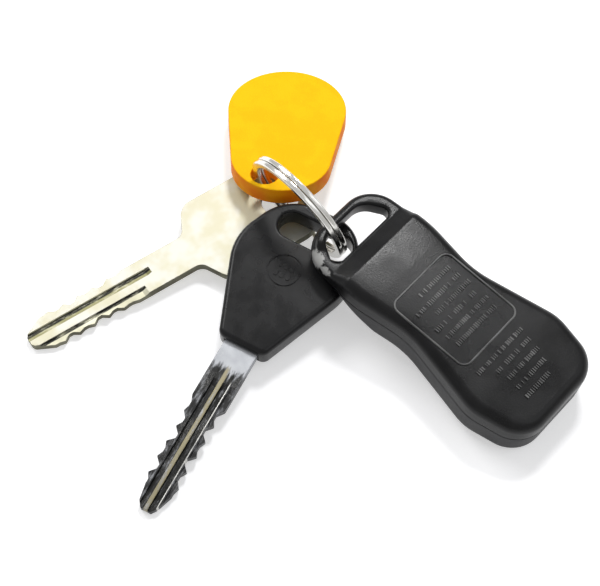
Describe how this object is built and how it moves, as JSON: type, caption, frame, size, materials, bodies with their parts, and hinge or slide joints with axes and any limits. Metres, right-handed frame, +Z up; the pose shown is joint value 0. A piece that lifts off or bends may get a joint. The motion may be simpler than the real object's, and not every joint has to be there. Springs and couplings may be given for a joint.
{
  "type": "split key ring",
  "caption": "Split ring of flat double-coil wire loaded with an egg-shaped tag, a plain cut key, a plastic-headed key and a coin-cell button remote.",
  "frame": {"origin": "under the middle of the bounding box of the whole group, on the surface the group lies on", "axes": "+Z up from that surface, +X towards the remote's tail, -Y towards the tips of the two keys' blades"},
  "size_m": [0.1282, 0.1194, 0.0299],
  "materials": {
    "ring_steel": "bright nickel plate on spring steel, fine wear",
    "tag_plastic": "matt yellow-orange with a fine speckle, redder on the cut edge",
    "key_nickel": "pale nickel-plated brass, worn, dark lines in the grooves",
    "blade_steel": "worn nickel silver with grime along the ridges",
    "head_plastic": "satin black moulded plastic, polished on the rim",
    "case_plastic": "satin black ABS with a fine grain, scuffed at the loop",
    "button_rubber": "soft-touch dark grey",
    "mat_rubber": "grey silicone sheet",
    "board_laminate": "green solder mask",
    "cell_steel": "plain stainless can",
    "contact_metal": "tinned spring brass",
    "chip_epoxy": "moulded epoxy package",
    "led_lens": "clear red lens",
    "transponder_ceramic": "dark ceramic wedge"
  },
  "bodies": {
    "ring": {"split_ring": "ring_steel"},
    "tag": {"tag": "tag_plastic"},
    "plain_key": {"plain_key": "key_nickel"},
    "car_key": {"key_head": "head_plastic", "key_blade": "blade_steel", "transponder": "transponder_ceramic"},
    "remote": {"remote_back_cover": "case_plastic", "remote_front_cover": "case_plastic", "keypad_mat": "mat_rubber", "circuit_board": "board_laminate", "switch_1": "chip_epoxy", "switch_2": "chip_epoxy", "switch_3": "chip_epoxy", "switch_4": "chip_epoxy", "led": "led_lens", "radio_chip": "chip_epoxy", "crystal": "cell_steel", "coin_cell": "cell_steel", "battery_contact_plus": "contact_metal", "battery_contact_minus": "contact_metal"},
    "button_lock": {"button_lock": "button_rubber"},
    "button_unlock": {"button_unlock": "button_rubber"},
    "button_trunk": {"button_trunk": "button_rubber"},
    "button_panic": {"button_panic": "button_rubber"}
  },
  "joints": [
    {"name": "tag_swing", "type": "hinge", "parent": "ring", "child": "tag", "pos_m": [-0.00902, 0.0218, 0.01081], "axis": [0.0173, 0.2198, 0.9754], "range_deg": [-6, 75]},
    {"name": "plain_key_swing", "type": "hinge", "parent": "ring", "child": "plain_key", "pos_m": [-0.00545, 0.01962, 0.00476], "axis": [-0.0442, -0.028, 0.9986], "range_deg": [-12, 12]},
    {"name": "car_key_swing", "type": "hinge", "parent": "ring", "child": "car_key", "pos_m": [0.00864, 0.00295, 0.00886], "axis": [-0.005, -0.1184, 0.993], "range_deg": [-3, 3]},
    {"name": "remote_swing", "type": "hinge", "parent": "ring", "child": "remote", "pos_m": [0.00869, 0.00099, 0.01546], "axis": [0.0865, -0.0779, 0.9932], "range_deg": [-5, 75]},
    {"name": "press_lock", "type": "slide", "parent": "remote", "child": "button_lock", "axis": [0.0865, -0.0779, 0.9932], "range_m": [0, 0.0008], "stiffness_N_per_m": 400, "springref_m": -0.0002},
    {"name": "press_unlock", "type": "slide", "parent": "remote", "child": "button_unlock", "axis": [0.0865, -0.0779, 0.9932], "range_m": [0, 0.0008], "stiffness_N_per_m": 400, "springref_m": -0.0002},
    {"name": "press_trunk", "type": "slide", "parent": "remote", "child": "button_trunk", "axis": [0.0865, -0.0779, 0.9932], "range_m": [0, 0.0008], "stiffness_N_per_m": 400, "springref_m": -0.0002},
    {"name": "press_panic", "type": "slide", "parent": "remote", "child": "button_panic", "axis": [0.0865, -0.0779, 0.9932], "range_m": [0, 0.0008], "stiffness_N_per_m": 400, "springref_m": -0.0002}
  ]
}
